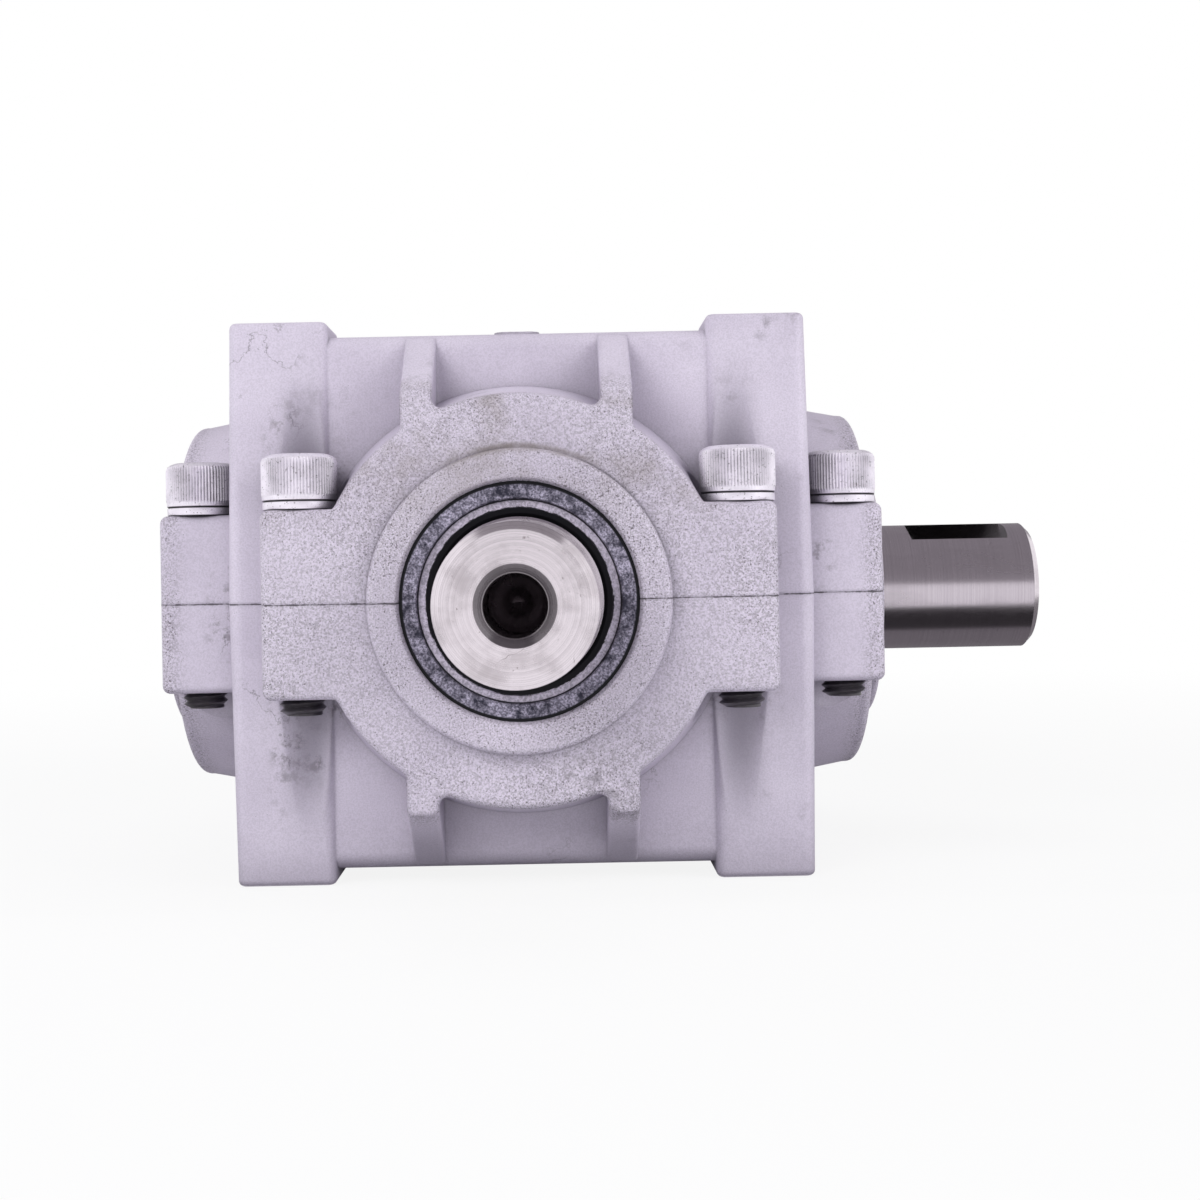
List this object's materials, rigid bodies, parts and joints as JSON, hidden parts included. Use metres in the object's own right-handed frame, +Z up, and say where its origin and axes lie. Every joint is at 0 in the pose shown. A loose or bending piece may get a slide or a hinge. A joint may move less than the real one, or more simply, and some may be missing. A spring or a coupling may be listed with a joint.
{
  "type": "right-angle gearbox",
  "caption": "Right-angle bevel gearbox in a split cast housing with corner posts, a shaft out of the front and one out of the right side.",
  "frame": {"origin": "centre of the four lower mounting holes, on the plane of the lower post ends", "axes": "+Z up, +X along the right-hand shaft, the front shaft points along -Y"},
  "size_m": [0.17, 0.17, 0.099],
  "materials": {
    "housing": "blasted die casting",
    "screw": "plated",
    "washer": "plated",
    "pin_steel": "ground",
    "cap": "moulded rubber over steel",
    "seal": "dusty black rubber",
    "spring": "spring steel",
    "shaft": "ground",
    "gear": "oiled, cut teeth",
    "spacer": "turned",
    "bearing": "ground bearing steel",
    "ball": "polished",
    "cage": "machined"
  },
  "bodies": {
    "housing": {"upper_housing": "housing", "lower_housing": "housing", "cap_screws": "screw", "spring_washers": "washer", "dowel_pins": "pin_steel", "left_end_cap": "cap", "rear_end_cap": "cap", "right_oil_seal": "seal", "front_oil_seal": "seal", "right_garter_spring": "spring", "front_garter_spring": "spring", "right_bearing_outer_ring": "bearing", "left_bearing_outer_ring": "bearing", "front_bearing_outer_ring": "bearing", "inner_bearing_outer_ring": "bearing"},
    "cross_rotor": {"cross_shaft": "shaft", "cross_gear": "gear", "cross_gear_key": "pin_steel", "cross_circlip": "spring", "spacer_sleeve": "spacer", "right_bearing_inner_ring": "bearing", "left_bearing_inner_ring": "bearing"},
    "front_rotor": {"front_shaft": "shaft", "front_gear": "gear", "front_gear_key": "pin_steel", "front_circlip": "spring", "front_bearing_inner_ring": "bearing", "inner_bearing_inner_ring": "bearing"},
    "right_bearing_ball_ring": {"right_bearing_balls": "ball", "right_bearing_cage": "cage"},
    "left_bearing_ball_ring": {"left_bearing_balls": "ball", "left_bearing_cage": "cage"},
    "front_bearing_ball_ring": {"front_bearing_balls": "ball", "front_bearing_cage": "cage"},
    "inner_bearing_ball_ring": {"inner_bearing_balls": "ball", "inner_bearing_cage": "cage"}
  },
  "joints": [
    {"name": "cross_shaft_spin", "type": "hinge", "parent": "housing", "child": "cross_rotor", "pos_m": [0, 0, 0.0495], "axis": [1, 0, 0], "continuous": true},
    {"name": "front_shaft_spin", "type": "hinge", "parent": "housing", "child": "front_rotor", "pos_m": [0, -0.04, 0.0495], "axis": [0, -1, 0], "continuous": true},
    {"name": "right_bearing_roll", "type": "hinge", "parent": "housing", "child": "right_bearing_ball_ring", "pos_m": [0.0535, 0, 0.0495], "axis": [1, 0, 0], "continuous": true},
    {"name": "left_bearing_roll", "type": "hinge", "parent": "housing", "child": "left_bearing_ball_ring", "pos_m": [-0.0535, 0, 0.0495], "axis": [1, 0, 0], "continuous": true},
    {"name": "front_bearing_roll", "type": "hinge", "parent": "housing", "child": "front_bearing_ball_ring", "pos_m": [0, -0.0535, 0.0495], "axis": [0, -1, 0], "continuous": true},
    {"name": "inner_bearing_roll", "type": "hinge", "parent": "housing", "child": "inner_bearing_ball_ring", "pos_m": [0, -0.0385, 0.0495], "axis": [0, -1, 0], "continuous": true}
  ],
  "couplings": [
    {"joint": "front_shaft_spin", "follows": "cross_shaft_spin", "ratio": -1},
    {"joint": "right_bearing_roll", "follows": "cross_shaft_spin", "ratio": 0.3974},
    {"joint": "left_bearing_roll", "follows": "cross_shaft_spin", "ratio": 0.3684},
    {"joint": "front_bearing_roll", "follows": "cross_shaft_spin", "ratio": -0.3974},
    {"joint": "inner_bearing_roll", "follows": "cross_shaft_spin", "ratio": -0.3974}
  ]
}
